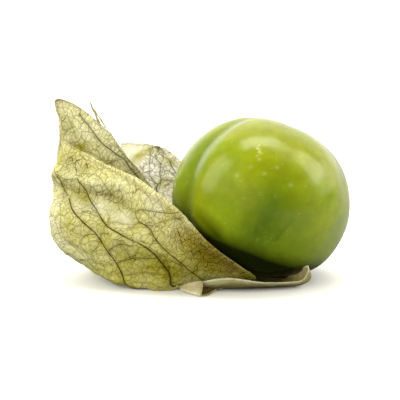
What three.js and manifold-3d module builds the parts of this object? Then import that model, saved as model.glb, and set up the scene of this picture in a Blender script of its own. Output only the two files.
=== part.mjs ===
// A picked tomatillo lying on its torn, opened husk.
//
// Millimetres, +Z up. The table is Z = 0 and the viewer looks along +Y. The berry stands stem end
// down on the husk. The papery husk is the fruit's calyx, and it is torn into three strips that
// still hang together at the calyx base under the berry: a pouch of three sepals that leans away
// to -X, a side lobe that rises behind the berry, and a lower lobe that lies under it.

import * as THREE from "three";
import Module from "manifold-3d";

const wasm = await Module();
wasm.setup();

// ---------------------------------------------------------------- driving dimensions

const HUSK_THICKNESS = 0.6;

const BERRY = {
  centre: new THREE.Vector3(15.9, 0, 20),
  equatorRadius: 23.2,
  poleRadius: 21.9,
  // The blossom end looks up, to the right and to the back.
  blossomAxis: new THREE.Vector3(0.344, 0.282, 0.896).normalize(),
  blossomDimple: { depth: 1.3, width: 24 },
  stemDimple: { depth: 2.0, width: 18.5 },
  // Shallow grooves run from pole to pole: longitude and width in degrees, depth in mm.
  grooves: [
    { longitude: 207, depth: 1.1, width: 9 },
    { longitude: 269, depth: 0.5, width: 13 },
    { longitude: 331, depth: 0.4, width: 13 },
    { longitude: 30, depth: 0.7, width: 10 },
    { longitude: 92, depth: 0.5, width: 12 },
    { longitude: 148, depth: 0.8, width: 10 },
  ],
  // Below this height the flesh flattens over this depth, where the berry bears on the husk.
  flattenBelow: 7,
  flattenDepth: 6.8,
};

const CALYX = {
  centre: [9.5, -5.5],
  discRadius: 3.8,
  discHeight: 1.1,
  nubRadius: 1.6,
  nubHeight: 1.9,
  ringRadius: 4.4, // where the husk's strips begin
};

// ---------------------------------------------------------------- husk ribs

// Each husk strip is a surface over a row of ribs. A rib starts on the ring round the calyx base,
// at an angle seen from above, and follows the strip out to its free rim.
function rib(angle, startHeight, ...points) {
  const turn = THREE.MathUtils.degToRad(angle);
  const start = new THREE.Vector3(
    CALYX.centre[0] + CALYX.ringRadius * Math.cos(turn),
    CALYX.centre[1] + CALYX.ringRadius * Math.sin(turn),
    startHeight,
  );
  return [start, ...points.map((p) => new THREE.Vector3(...p))];
}

// The pouch, from the torn edge in front of the berry, round the left end, to the torn edge behind.
const POUCH_RIBS = [
  rib(-92, 1.4, [14.2, -15.2, 3.4], [8, -19.3, 9.2], [1, -19.5, 17], [-7.5, -15.5, 23],
    [-15.5, -9.5, 27.5], [-25.5, -5, 31], [-35.2, -1.4, 35.8]),
  rib(-112, 1.4, [9, -13.2, 2.3], [2.5, -16, 3.6], [-4.5, -18.8, 9.5], [-11.5, -16.5, 15],
    [-18.5, -12.2, 20.5], [-26.5, -8.5, 27.5], [-35.9, -1.1, 34.9]),
  rib(-130, 1.4, [3.5, -12.2, 1.6], [-6.5, -13.5, 0.9], [-11, -17, 9], [-19.5, -15.7, 14],
    [-26, -11.5, 20.5], [-31, -6.8, 26], [-36.5, -0.5, 34]),
  rib(-148, 1.2, [0, -9.5, 1.3], [-15.5, -14.6, 0.7], [-22, -14, 7], [-28, -12.5, 14],
    [-33, -9, 20.5], [-36, -4.5, 26], [-36.8, 0.3, 33.5]),
  rib(-165, 0.9, [-1.5, -5.5, 1.1], [-20.5, -11.5, 0.8], [-28.5, -9.5, 3.8], [-35.5, -7, 9.5],
    [-38.6, -4, 17.5], [-38, -2, 25], [-36.9, 1.1, 33.4]),
  rib(178, 0.7, [-2.5, -1, 0.7], [-19.5, -3, 0.7], [-31, -1, 4], [-38, 0.5, 9.5],
    [-38.7, 2, 17], [-37.5, 2.5, 25.5], [-36.6, 2, 34.3]),
  rib(169, 0.7, [-1, 1.2, 0.6], [-17, 1.5, 0.7], [-30.5, 4, 3.8], [-37, 6, 10],
    [-37.8, 6.5, 19], [-37.5, 5, 29.5], [-36.6, 3, 40]),
  rib(160, 0.6, [0.5, 3, 0.6], [-14.5, 5, 0.7], [-28, 9, 4], [-35, 10.5, 11],
    [-36.5, 10, 21], [-37, 7, 32], [-37.5, 4, 46]),
  rib(145, 0.6, [4, 7, 0.6], [-6.5, 11, 1.7], [-16, 14.5, 7], [-23.5, 14, 15],
    [-28, 11.5, 23], [-30, 8, 33.5], [-32, 5, 44.3]),
  rib(130, 0.6, [7.5, 9, 0.7], [-1, 13.8, 3], [-9, 16.5, 10.5], [-15.5, 13.5, 22],
    [-19.5, 11.5, 28], [-24, 9.5, 32], [-27, 7, 40]),
  rib(120, 0.6, [9, 11, 0.7], [0.5, 15.8, 3], [-7.5, 17.8, 11], [-14, 14.5, 22],
    [-18, 12, 27.5], [-20.5, 10.5, 31.5], [-23.5, 8.5, 36.5]),
];

// A puckered fold crosses the pouch's outer face: a valley with a puff of husk above it.
const POUCH_FOLD = [
  { inward: 2.2, width: 2.8, line: [[-38, -3, 23], [-29.5, -10, 22], [-22.5, -13, 20.5], [-17, -15, 18]] },
  { inward: -1.3, width: 3.6, line: [[-36, -3, 28], [-29, -7.5, 27], [-21, -10.5, 25], [-15, -12, 22.5]] },
];

// A vein that tore loose stands up from the rear rim of the pouch.
const LOOSE_VEIN = {
  line: [[-24.8, 7.6, 37.3], [-26.3, 7.2, 40], [-27.5, 6.8, 42.2], [-28.4, 6.5, 44.4]],
  radius: 0.35,
};

const SIDE_RIBS = [
  rib(112, 0.5, [9.5, 12.5, 0.9], [0.5, 18.7, 3.2], [-8.5, 20.8, 10.5], [-16, 18.8, 19.5],
    [-19.5, 16.6, 26], [-21.5, 15, 32.5]),
  rib(95, 0.5, [13.5, 14, 0.9], [7, 20.8, 4.5], [-0.5, 23, 11], [-8.5, 20.5, 18],
    [-12.5, 18, 24.5], [-14.5, 15.5, 32.4]),
  rib(78, 0.5, [17, 14.2, 0.9], [12, 22.9, 6.3], [5.5, 26.5, 11], [-2.5, 24, 18.5],
    [-7, 19.7, 25], [-9, 15.7, 31]),
  rib(60, 0.5, [20, 13.8, 0.9], [17, 23.2, 6.7], [12, 27.5, 10.5], [4.5, 26.5, 18],
    [-2, 22, 23.5], [-5.5, 16.5, 27]),
];

// The lower lobe lies flat on the table and turns up into a low rim towards the viewer. Its left
// corner is folded over, and its right corner curls up.
const FLAT = HUSK_THICKNESS / 2;
const LOWER_RIBS = [
  rib(-135, FLAT, [4, -11, FLAT], [1.5, -13, FLAT], [-1.5, -14.6, 0.4], [-3.5, -15.8, 0.6],
    [-4.8, -16.6, 0.8]),
  rib(-108, FLAT, [7, -12.3, FLAT], [4, -14.8, FLAT], [1.6, -16.6, 0.9], [0.4, -17.6, 2.5],
    [0, -20.8, 0.9]),
  rib(-85, FLAT, [10, -12.5, FLAT], [7.6, -14.8, FLAT], [6.3, -16, 0.7], [5.9, -16.6, 1.8],
    [5.7, -17, 2.9]),
  rib(-60, FLAT, [14, -12, FLAT], [12.6, -13.8, FLAT], [11.6, -15, 0.7], [11.3, -15.7, 1.7],
    [11.1, -16.1, 2.6]),
  rib(-38, FLAT, [17.5, -10, FLAT], [17.6, -12, FLAT], [17.6, -13, 0.5], [17.6, -13.5, 1.1],
    [17.6, -13.8, 1.6]),
  rib(-18, FLAT, [19.5, -8, FLAT], [22, -10.2, FLAT], [23.4, -11.2, 0.5], [24.2, -12, 1.1],
    [24.6, -12.4, 1.7]),
  rib(0, FLAT, [18.5, -5.5, FLAT], [22, -8.5, FLAT], [25.2, -11.2, 0.5], [27.3, -12.8, 1.8],
    [28.4, -13.6, 3.9]),
  rib(22, FLAT, [15.5, -2.5, FLAT], [17.5, -3, FLAT], [19.3, -3.7, FLAT], [20.7, -4.4, FLAT],
    [21.8, -5, FLAT]),
];

// ---------------------------------------------------------------- surfaces and solids

function bump(distance, width) {
  return Math.exp(-((distance / width) ** 2));
}

// A smooth curve through points, at a share of the way along them.
function smoothPoint(points, share) {
  return new THREE.CatmullRomCurve3(points, false, "catmullrom", 0.5).getPoint(share);
}

// Rows of points over a set of ribs: one row for each step along them. The husk bears on the
// table, so no point of its middle comes nearer to it than half the husk's thickness.
function loft(ribs, stepsAcross, stepsAlong) {
  const lowest = HUSK_THICKNESS / 2;
  const rows = [];
  for (let j = 0; j <= stepsAlong; j++) {
    const section = ribs.map((points) => smoothPoint(points, j / stepsAlong));
    const row = [];
    for (let i = 0; i <= stepsAcross; i++) {
      const point = smoothPoint(section, i / stepsAcross);
      row.push(point.setZ(Math.max(point.z, lowest)));
    }
    rows.push(row);
  }
  return rows;
}

// The normal of a surface of points, from its neighbours in both directions.
function gridNormal(rows, j, i) {
  const last = rows.length - 1;
  const end = rows[0].length - 1;
  const along = new THREE.Vector3().subVectors(
    rows[Math.min(j + 1, last)][i],
    rows[Math.max(j - 1, 0)][i],
  );
  const across = new THREE.Vector3().subVectors(
    rows[j][Math.min(i + 1, end)],
    rows[j][Math.max(i - 1, 0)],
  );
  return across.cross(along).normalize();
}

// Presses folds into the outer face of a surface of points.
function pressFolds(rows, folds) {
  const steps = 40;
  const shapes = folds.map(({ inward, width, line }) => {
    const curve = line.map((p) => new THREE.Vector3(...p));
    const samples = [];
    for (let k = 0; k <= steps; k++) samples.push(smoothPoint(curve, k / steps));
    return { inward, width, samples };
  });
  return rows.map((row, j) =>
    row.map((point, i) => {
      let shift = 0;
      for (const { inward, width, samples } of shapes) {
        const distance = Math.min(...samples.map((sample) => sample.distanceTo(point)));
        shift += inward * bump(distance, width);
      }
      return gridNormal(rows, j, i).multiplyScalar(shift).add(point);
    }),
  );
}

function geometryOf(vertices, faces) {
  const geometry = new THREE.BufferGeometry().setFromPoints(vertices);
  geometry.setIndex(faces);
  return geometry;
}

// A thin closed solid whose middle follows a surface of points.
function sheet(rows, thickness) {
  const count = rows[0].length;
  const vertices = [];
  for (const side of [-0.5, 0.5])
    rows.forEach((row, j) =>
      row.forEach((point, i) => {
        const shift = gridNormal(rows, j, i).multiplyScalar(side * thickness);
        vertices.push(point.clone().add(shift));
      }),
    );
  const upper = rows.length * count;
  const faces = [];
  const quad = (a, b, c, d) => faces.push(a, b, c, a, c, d);
  const at = (j, i) => j * count + i;
  for (let j = 0; j + 1 < rows.length; j++)
    for (let i = 0; i + 1 < count; i++) {
      quad(at(j, i), at(j + 1, i), at(j + 1, i + 1), at(j, i + 1));
      quad(upper + at(j, i), upper + at(j, i + 1), upper + at(j + 1, i + 1), upper + at(j + 1, i));
    }
  const border = [];
  for (let i = 0; i < count; i++) border.push(at(0, i));
  for (let j = 1; j < rows.length; j++) border.push(at(j, count - 1));
  for (let i = count - 2; i >= 0; i--) border.push(at(rows.length - 1, i));
  for (let j = rows.length - 2; j > 0; j--) border.push(at(j, 0));
  border.forEach((a, k) => {
    const b = border[(k + 1) % border.length];
    quad(a, b, upper + b, upper + a);
  });
  return geometryOf(vertices, faces);
}

// A closed solid through rings of points, from a first end point below to a last one above.
function ringSolid(first, rings, last) {
  const count = rings[0].length;
  const vertices = [first, ...rings.flat(), last];
  const faces = [];
  const at = (ring, i) => 1 + ring * count + (i % count);
  for (let i = 0; i < count; i++) {
    faces.push(0, at(0, i + 1), at(0, i));
    for (let ring = 0; ring + 1 < rings.length; ring++) {
      faces.push(at(ring, i), at(ring, i + 1), at(ring + 1, i + 1));
      faces.push(at(ring, i), at(ring + 1, i + 1), at(ring + 1, i));
    }
    faces.push(vertices.length - 1, at(rings.length - 1, i), at(rings.length - 1, i + 1));
  }
  return geometryOf(vertices, faces);
}

function solidFrom(geometry) {
  return new wasm.Manifold(
    new wasm.Mesh({
      numProp: 3,
      vertProperties: new Float32Array(geometry.getAttribute("position").array),
      triVerts: new Uint32Array(geometry.getIndex().array),
    }),
  );
}

function joined(...geometries) {
  const mesh = wasm.Manifold.union(geometries.map(solidFrom)).getMesh();
  const geometry = new THREE.BufferGeometry();
  geometry.setAttribute("position", new THREE.BufferAttribute(mesh.vertProperties, 3));
  geometry.setIndex(new THREE.BufferAttribute(mesh.triVerts, 1));
  return geometry;
}

// ---------------------------------------------------------------- sub-parts

// The berry's distance from its centre, by the angle from its blossom end and the longitude.
function berryRadius(polar, longitude) {
  const { equatorRadius: a, poleRadius: c } = BERRY;
  const sine = Math.sin(polar);
  const smooth = (a * c) / Math.hypot(c * sine, a * Math.cos(polar));
  const degrees = THREE.MathUtils.radToDeg;
  const blossom = BERRY.blossomDimple.depth * bump(degrees(polar), BERRY.blossomDimple.width);
  const stem = BERRY.stemDimple.depth * bump(180 - degrees(polar), BERRY.stemDimple.width);
  let grooves = 0;
  for (const groove of BERRY.grooves) {
    const apart = THREE.MathUtils.euclideanModulo(
      degrees(longitude) - groove.longitude + 180, 360) - 180;
    grooves += groove.depth * bump(apart, groove.width) * sine ** 1.2;
  }
  return smooth - blossom - stem - grooves;
}

// A point of the berry's skin, flattened where it bears on the husk.
function berryPoint(polar, longitude) {
  const axis = BERRY.blossomAxis;
  const right = new THREE.Vector3().crossVectors(axis, new THREE.Vector3(0, -1, 0)).normalize();
  const back = new THREE.Vector3().crossVectors(axis, right);
  const point = new THREE.Vector3()
    .addScaledVector(axis, Math.cos(polar))
    .addScaledVector(right, Math.sin(polar) * Math.cos(longitude))
    .addScaledVector(back, Math.sin(polar) * Math.sin(longitude))
    .multiplyScalar(berryRadius(polar, longitude))
    .add(BERRY.centre);
  const below = BERRY.flattenBelow - point.z;
  if (below > 0)
    point.z = BERRY.flattenBelow - BERRY.flattenDepth * Math.tanh(below / BERRY.flattenDepth);
  return point;
}

function makeBerry() {
  const stepsUp = 26;
  const stepsRound = 44;
  const rings = [];
  for (let j = stepsUp - 1; j > 0; j--) {
    const ring = [];
    for (let i = 0; i < stepsRound; i++)
      ring.push(berryPoint((Math.PI * j) / stepsUp, (2 * Math.PI * i) / stepsRound));
    rings.push(ring);
  }
  return ringSolid(berryPoint(Math.PI, 0), rings, berryPoint(0, 0));
}

// The calyx base: a disc with the scar of the stalk below and a nub in the berry's dimple above.
function makeCalyxBase() {
  const sides = 20;
  const profile = [
    [1.5, 0.3], [1.9, 0], [CALYX.discRadius - 0.5, 0], [CALYX.discRadius, 0.4],
    [CALYX.discRadius - 0.2, CALYX.discHeight - 0.2], [CALYX.nubRadius + 0.8, CALYX.discHeight],
    [CALYX.nubRadius, CALYX.discHeight + 0.5], [CALYX.nubRadius - 0.4, CALYX.nubHeight],
  ];
  const [x, y] = CALYX.centre;
  const rings = profile.map(([radius, height]) => {
    const ring = [];
    for (let i = 0; i < sides; i++) {
      const turn = (2 * Math.PI * i) / sides;
      ring.push(new THREE.Vector3(x + radius * Math.cos(turn), y + radius * Math.sin(turn), height));
    }
    return ring;
  });
  return ringSolid(
    new THREE.Vector3(x, y, 0.3),
    rings,
    new THREE.Vector3(x, y, CALYX.nubHeight),
  );
}

// A thin round strand that tapers to its tip.
function strand({ line, radius }) {
  const points = line.map((p) => new THREE.Vector3(...p));
  const sides = 6;
  const rings = points.slice(0, -1).map((point, k) => {
    const size = radius * (1 - (0.5 * k) / points.length);
    const ring = [];
    for (let i = 0; i < sides; i++) {
      const turn = (2 * Math.PI * i) / sides;
      ring.push(new THREE.Vector3(size * Math.cos(turn), size * Math.sin(turn), 0).add(point));
    }
    return ring;
  });
  return ringSolid(points[0], rings, points[points.length - 1]);
}

function makePouch() {
  const wall = pressFolds(loft(POUCH_RIBS, 44, 30), POUCH_FOLD);
  return joined(sheet(wall, HUSK_THICKNESS), strand(LOOSE_VEIN));
}

function makeSideLobe() {
  return sheet(loft(SIDE_RIBS, 14, 22), HUSK_THICKNESS);
}

function makeLowerLobe() {
  return sheet(loft(LOWER_RIBS, 28, 12), HUSK_THICKNESS);
}

// ---------------------------------------------------------------- the object

const PARTS = [
  { name: "berry", make: makeBerry, color: 0x7f9a24, roughness: 0.25 },
  { name: "calyx_base", make: makeCalyxBase, color: 0x8f8a4a, roughness: 0.7 },
  { name: "husk_pouch", make: makePouch, color: 0xcfc98a, roughness: 0.75 },
  { name: "husk_side_lobe", make: makeSideLobe, color: 0xd6d2a4, roughness: 0.75 },
  { name: "husk_lower_lobe", make: makeLowerLobe, color: 0xc8bd8c, roughness: 0.75 },
];

const tomatillo = new THREE.Group();
tomatillo.name = "tomatillo";
for (const { name, make, color, roughness } of PARTS) {
  const geometry = make();
  geometry.computeVertexNormals();
  const material = new THREE.MeshStandardMaterial({ color, roughness, metalness: 0 });
  const mesh = new THREE.Mesh(geometry, material);
  mesh.name = name;
  tomatillo.add(mesh);
}

// The origin is under the middle of the whole object, on the table.
const box = new THREE.Box3().setFromObject(tomatillo);
const middle = box.getCenter(new THREE.Vector3());
for (const mesh of tomatillo.children) mesh.position.set(-middle.x, -middle.y, -box.min.z);

export default tomatillo;
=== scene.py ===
"""A picked tomatillo standing on its own torn, opened husk.

Shapes are worked out in millimetres in the solids' own drawing axes: X to the right, Y away from
the viewer, Z up from the table. `place` moves them into the shared frame, in metres.
"""

import math
from functools import partial

import bpy
import numpy as np
from mathutils import Matrix, Vector, kdtree


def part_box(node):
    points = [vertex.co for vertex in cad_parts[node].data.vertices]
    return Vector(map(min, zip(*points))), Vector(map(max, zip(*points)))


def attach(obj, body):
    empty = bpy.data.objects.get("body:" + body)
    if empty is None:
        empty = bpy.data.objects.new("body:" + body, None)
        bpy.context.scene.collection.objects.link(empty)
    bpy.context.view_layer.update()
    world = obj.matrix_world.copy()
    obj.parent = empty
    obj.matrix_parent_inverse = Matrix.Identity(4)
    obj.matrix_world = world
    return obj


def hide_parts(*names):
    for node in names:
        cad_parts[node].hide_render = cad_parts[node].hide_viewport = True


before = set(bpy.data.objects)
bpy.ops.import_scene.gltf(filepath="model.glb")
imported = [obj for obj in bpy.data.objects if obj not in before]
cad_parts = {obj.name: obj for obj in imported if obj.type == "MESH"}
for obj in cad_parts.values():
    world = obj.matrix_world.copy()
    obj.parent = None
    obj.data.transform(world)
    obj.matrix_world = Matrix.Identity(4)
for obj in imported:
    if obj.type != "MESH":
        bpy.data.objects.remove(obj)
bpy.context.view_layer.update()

MM = 0.001

# ---------------------------------------------------------------- dimensions, in mm

HUSK_THICKNESS = 0.18
VEIN_RELIEF = 0.16
VEIN_ROOM = 0.06
TABLE_GAP = 0.02
CALYX_CENTRE = (9.5, -5.5)
CALYX_RING = 4.4
FLAT = 0.3  # the height of the husk's middle where it lies on the table, as in the solids

BERRY_CENTRE = np.array([15.9, 0.0, 20.0])
BERRY_EQUATOR = 23.2
BERRY_POLE = 21.9
BLOSSOM_AXIS = np.array([0.344, 0.282, 0.896])
BLOSSOM_AXIS = BLOSSOM_AXIS / np.linalg.norm(BLOSSOM_AXIS)
# A dimple at each end, with its depth in mm and its width in degrees from that end.
BLOSSOM_DIMPLE = (1.3, 24)
STEM_DIMPLE = (2.0, 18.5)
# The berry is pressed flat where it bears on the husk: this starts at the first height, and the
# flesh reaches down from there by less than the second.
FLATTEN_BELOW = 7
FLATTEN_DEPTH = 6.8
# Low down on the side away from the husk the berry is a little flat: the direction of that place,
# how deep it is in mm and how wide in degrees.
LOW_SIDE = np.array([0.76, 0.1, -0.64])
LOW_FLAT = (0.7, 17)
# Shallow grooves from pole to pole: longitude in degrees, depth in mm and width in degrees.
BERRY_GROOVES = [(207, 1.1, 9), (269, 0.5, 13), (331, 0.4, 13), (30, 0.7, 10), (92, 0.5, 12),
                 (148, 0.8, 10)]
# Sharp creases along parts of the grooves: longitude and its drift, the range of angles from the
# blossom end, depth and width.
BERRY_CREASES = [
    (208, 3, 38, 114, 0.15, 3.6),
    (285, -3, 98, 120, 0.24, 1.5),
    (269, 2, 108, 126, 0.16, 1.9),
    (31, 3, 45, 105, 0.35, 2.6),
    (149, -3, 40, 110, 0.4, 2.6),
    (92, 2, 55, 95, 0.25, 2.4),
]
SMALL_DOTS = 260
# Painted shade darkens the green down the front in a wide shallow valley, made of three
# overlapping parts: how dark, the longitude and its width, the angle from the blossom end and its
# reach.
BERRY_VALLEYS = [(0.6, 269, 12, 103, 24), (0.45, 282, 18, 117, 12), (0.5, 286, 13, 96, 14)]

# The drawing's own origin, on the table, worked out from the middle of the calyx base.
ORIGIN = np.mean(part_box("calyx_base"), axis=0) - np.array([*CALYX_CENTRE, 0]) * MM
ORIGIN[2] = 0


def place(points):
    """Points in the drawing's mm as points in the shared frame, in metres."""
    return np.asarray(points, float) * MM + ORIGIN


# ---------------------------------------------------------------- curves, noise and nets


def catmull(p0, p1, p2, p3, w):
    """The Catmull-Rom curve between p1 and p2, at share w of the way."""
    v0 = (p2 - p0) / 2
    v1 = (p3 - p1) / 2
    return (
        (2 * p1 - 2 * p2 + v0 + v1) * w**3
        + (3 * p2 - 3 * p1 - 2 * v0 - v1) * w**2
        + v0 * w
        + p1
    )


def with_ends(points):
    """The points with one more beyond each end, so that a curve can run through them all."""
    return np.concatenate([[2 * points[0] - points[1]], points, [2 * points[-1] - points[-2]]])


def step_and_share(shares, count):
    """For shares of the way along `count` points: the step each falls in, and how far into it."""
    x = np.clip(shares, 0, 1) * (count - 1)
    step = np.minimum(np.floor(x).astype(int), count - 2)
    return step, x - step


def smooth(points, shares):
    """Points of a smooth curve through some points, at shares of the way along it."""
    points = np.asarray(points, float)
    step, w = step_and_share(np.asarray(shares, float), len(points))
    p = with_ends(points)
    return catmull(p[step], p[step + 1], p[step + 2], p[step + 3], w[..., None])


def over_ribs(ribs, across, along):
    """Points of the smooth surface over a row of ribs, at shares across and along them."""
    curves = with_ends(np.stack([smooth(rib, along) for rib in ribs]))
    step, w = step_and_share(across, len(ribs))
    near = [np.take_along_axis(curves, (step + k)[None, ..., None], axis=0)[0] for k in range(4)]
    points = catmull(*near, w[..., None])
    points[..., 2] = np.maximum(points[..., 2], FLAT)
    return points


def noise(points, size, seed):
    """Smooth noise from -1 to 1, whose features are about `size` mm across."""
    table = np.random.default_rng(seed).random((24, 24, 24)) * 2 - 1
    x = np.asarray(points, float) / size
    cell = np.floor(x).astype(int)
    t = x - cell
    t = t * t * (3 - 2 * t)
    total = 0
    for corner in np.ndindex(2, 2, 2):
        weight = 1
        for axis in range(3):
            weight = weight * (t[..., axis] if corner[axis] else 1 - t[..., axis])
        at = (cell + corner) % 24
        total = total + weight * table[at[..., 0], at[..., 1], at[..., 2]]
    return total


def bump(distance, width):
    """1 at no distance, and down smoothly to nearly 0 at twice the width."""
    return np.exp(-((distance / width) ** 2))


def crinkle(points, size, seed):
    """Crumpled paper, from 0 to about 1: flat facets that meet in sharp creases at 0."""
    return np.abs(noise(points, size, seed))


def lay_flat(ribs, count=48, rounds=400):
    """The strip over some ribs laid flat with as little stretching as can be: a square table of
    (x, y) in mm, at even shares along (rows) and across (columns) the strip."""
    share = np.linspace(0, 1, count)
    solid = over_ribs(ribs, *np.meshgrid(share, share)).reshape(-1, 3)
    index = np.arange(count * count).reshape(count, count)
    pairs = [
        (index[:-1], index[1:]),
        (index[:, :-1], index[:, 1:]),
        (index[:-1, :-1], index[1:, 1:]),
        (index[:-1, 1:], index[1:, :-1]),
    ]
    start = np.concatenate([a.ravel() for a, _ in pairs])
    stop = np.concatenate([b.ravel() for _, b in pairs])
    length = np.linalg.norm(solid[stop] - solid[start], axis=1)
    table = solid.reshape(count, count, 3)
    steps = np.diff(table, axis=0, prepend=table[:1])
    along = np.cumsum(np.linalg.norm(steps, axis=-1), axis=0)
    steps = np.diff(table, axis=1, prepend=table[:, :1])
    across = np.cumsum(np.linalg.norm(steps, axis=-1), axis=1)
    across -= across[:, count // 2, None]
    flat = np.stack([along, across], -1).reshape(-1, 2)
    for _ in range(rounds):
        gap = flat[stop] - flat[start]
        now = np.maximum(np.linalg.norm(gap, axis=1), 1e-9)
        pull = gap * (0.5 * (now - length) / now)[:, None]
        for axis in (0, 1):
            moved = np.bincount(start, pull[:, axis], len(flat))
            moved -= np.bincount(stop, pull[:, axis], len(flat))
            flat[:, axis] += moved / 4
    return flat.reshape(count, count, 2)


def read_table(table, across, along):
    """Values of a square table at shares across and along it."""
    column, s = step_and_share(across, len(table))
    row, t = step_and_share(along, len(table))
    s, t = s[..., None], t[..., None]
    low = table[row, column] * (1 - s) + table[row, column + 1] * s
    high = table[row + 1, column] * (1 - s) + table[row + 1, column + 1] * s
    return low * (1 - t) + high * t


def near_lines(points, lines):
    """For each point, its distance to the nearest of some lines, and that line's own values
    there. A line is an array of points and an array of the same length of values."""
    samples = np.concatenate([line for line, _ in lines])
    values = np.concatenate([value for _, value in lines])
    tree = kdtree.KDTree(len(samples))
    for index, p in enumerate(samples):
        tree.insert(p, index)
    tree.balance()
    distance = np.empty(len(points))
    nearest = np.empty(len(points), int)
    for index, p in enumerate(points):
        _, nearest[index], distance[index] = tree.find(p)
    return distance, values[nearest]


# ---------------------------------------------------------------- meshes


def grid_normals(grid):
    """The unit normals of a surface, given as a grid of points."""
    normals = np.cross(np.gradient(grid, axis=1), np.gradient(grid, axis=0))
    length = np.linalg.norm(normals, axis=-1, keepdims=True)
    return normals / np.maximum(length, 1e-9)


def add_piece(name, points, faces, node, slot, material, masks=None):
    """Makes a smooth-shaded mesh piece that stands for a node of the solids."""
    corners = np.concatenate([face.ravel() for face in faces])
    sizes = np.concatenate([np.full(len(face), face.shape[1]) for face in faces])
    mesh = bpy.data.meshes.new(name)
    mesh.vertices.add(len(points))
    mesh.vertices.foreach_set("co", place(points).ravel())
    mesh.loops.add(len(corners))
    mesh.loops.foreach_set("vertex_index", corners.astype(np.int32))
    mesh.polygons.add(len(sizes))
    mesh.polygons.foreach_set("loop_start", np.concatenate([[0], np.cumsum(sizes)[:-1]]))
    mesh.update(calc_edges=True)
    mesh.polygons.foreach_set("use_smooth", np.ones(len(sizes), bool))
    for label, values in (masks or {}).items():
        values = np.asarray(values, np.float32)
        kind, key = ("FLOAT_VECTOR", "vector") if values.ndim == 2 else ("FLOAT", "value")
        layer = mesh.attributes.new(label, kind, "POINT")
        layer.data.foreach_set(key, values.ravel())
    mesh.materials.append(material)
    piece = bpy.data.objects.new(name, mesh)
    bpy.context.scene.collection.objects.link(piece)
    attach(piece, "root")
    if node:
        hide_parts(node)


def sheet_faces(rows, columns):
    """Quads of a closed thin sheet: a lower and an upper layer of points, and the rim."""
    index = np.arange(rows * columns).reshape(rows, columns)
    a, b = index[:-1, :-1].ravel(), index[:-1, 1:].ravel()
    c, d = index[1:, 1:].ravel(), index[1:, :-1].ravel()
    upper = rows * columns
    rim = np.concatenate([index[0, :-1], index[:-1, -1], index[-1, :0:-1], index[:0:-1, 0]])
    after = np.roll(rim, -1)
    return [
        np.stack([a, d, c, b], -1),
        np.stack([a, b, c, d], -1) + upper,
        np.stack([rim, after, after + upper, rim + upper], -1),
    ]


def ring_faces(rings, sides):
    """Faces of a closed body: a first point, rings of points, and a last point."""
    index = 1 + np.arange(rings * sides).reshape(rings, sides)
    after = np.roll(index, -1, axis=1)
    last = rings * sides + 1
    walls = np.stack([index[:-1], after[:-1], after[1:], index[1:]], -1).reshape(-1, 4)
    low = np.stack([np.zeros(sides, int), after[0], index[0]], -1)
    high = np.stack([np.full(sides, last), index[-1], after[-1]], -1)
    return [walls, low, high]


def tube(line, radii, sides=8):
    """Points and faces of a round strand along a line, closed at both ends."""
    line = np.asarray(line, float)
    ahead = np.gradient(line, axis=0)
    ahead /= np.linalg.norm(ahead, axis=1, keepdims=True)
    side = np.cross(ahead, [0.31, -0.9, 0.3])
    side /= np.linalg.norm(side, axis=1, keepdims=True)
    up = np.cross(ahead, side)
    turn = np.linspace(0, 2 * math.pi, sides, endpoint=False)
    ring = (
        side[:, None] * np.cos(turn)[None, :, None]
        + up[:, None] * np.sin(turn)[None, :, None]
    )
    body = line[:, None] + ring * np.asarray(radii, float)[:, None, None]
    points = np.concatenate([line[:1], body.reshape(-1, 3), line[-1:]])
    return points, ring_faces(len(line), sides)


# ---------------------------------------------------------------- materials


def linear(hexcode):
    """An sRGB hex colour as linear RGBA."""
    parts = [int(hexcode[at : at + 2], 16) / 255 for at in (0, 2, 4)]
    parts = [part / 12.92 if part <= 0.04045 else ((part + 0.055) / 1.055) ** 2.4 for part in parts]
    return (*parts, 1.0)


def add_node(tree, kind, inputs=(), out=0, **settings):
    """Adds a shader node and returns one of its outputs. `inputs` holds outputs of other nodes to
    link from and constants to set: a list in the node's own order, or a dict by name or number."""
    node = tree.nodes.new("ShaderNode" + kind)
    for key, value in settings.items():
        setattr(node, key, value)
    for key, value in inputs.items() if isinstance(inputs, dict) else enumerate(inputs):
        if isinstance(value, bpy.types.NodeSocket):
            tree.links.new(value, node.inputs[key])
        else:
            node.inputs[key].default_value = value
    return node.outputs[out] if node.outputs else None


def new_material(name):
    """An empty material, and `add_node` for its tree."""
    material = bpy.data.materials.new(name)
    material.use_nodes = True
    material.node_tree.nodes.clear()
    return material, partial(add_node, material.node_tree)


def per_mm(size):
    """A texture scale, in features per metre, from the size of one feature in mm."""
    return 1000 / size


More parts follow.
